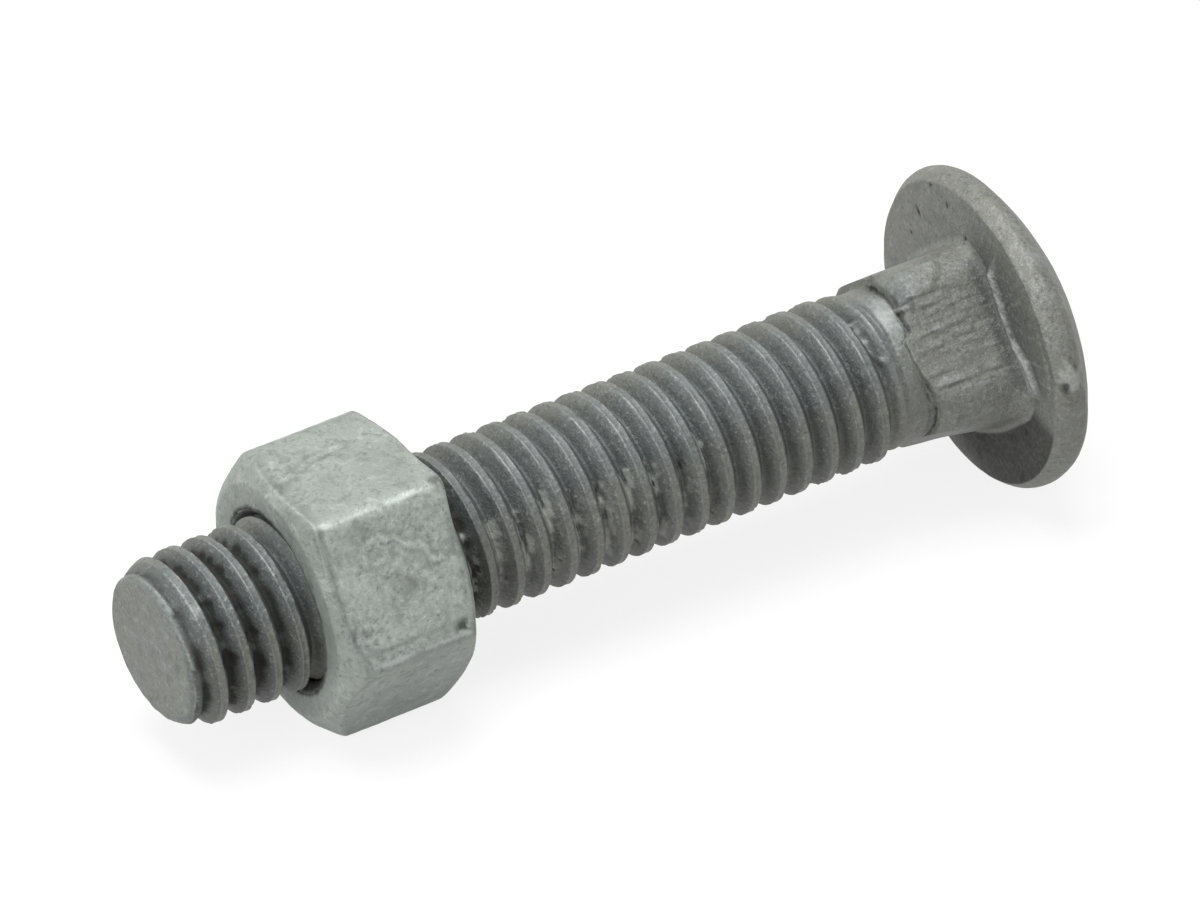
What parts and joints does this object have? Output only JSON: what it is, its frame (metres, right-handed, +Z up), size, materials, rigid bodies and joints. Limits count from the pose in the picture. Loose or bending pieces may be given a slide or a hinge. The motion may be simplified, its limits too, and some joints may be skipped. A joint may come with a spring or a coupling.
{
  "type": "carriage bolt with nut",
  "caption": "Round-headed carriage bolt with a square neck and coarse thread, hot-dip galvanised, with a hex nut run on near its tip.",
  "frame": {"origin": "on the surface that the bolt lies on, below the middle of its length", "axes": "+X along the bolt's length towards the head, +Z up; the bolt's own axis rises towards the head by 2.82 degrees, because the head is wider than the nut"},
  "size_m": [0.0543, 0.0182, 0.0182],
  "materials": {
    "bolt_zinc": "dull hot-dip galvanised, darker in the thread",
    "nut_zinc": "pale matt hot-dip galvanised, finely mottled"
  },
  "bodies": {
    "bolt": {"carriage_bolt": "bolt_zinc"},
    "nut": {"hex_nut": "nut_zinc"}
  },
  "joints": [
    {"name": "nut_travel", "type": "slide", "parent": "bolt", "child": "nut", "axis": [0.9988, 0, 0.0492], "range_m": [-0.01746, 0.0254]}
  ]
}
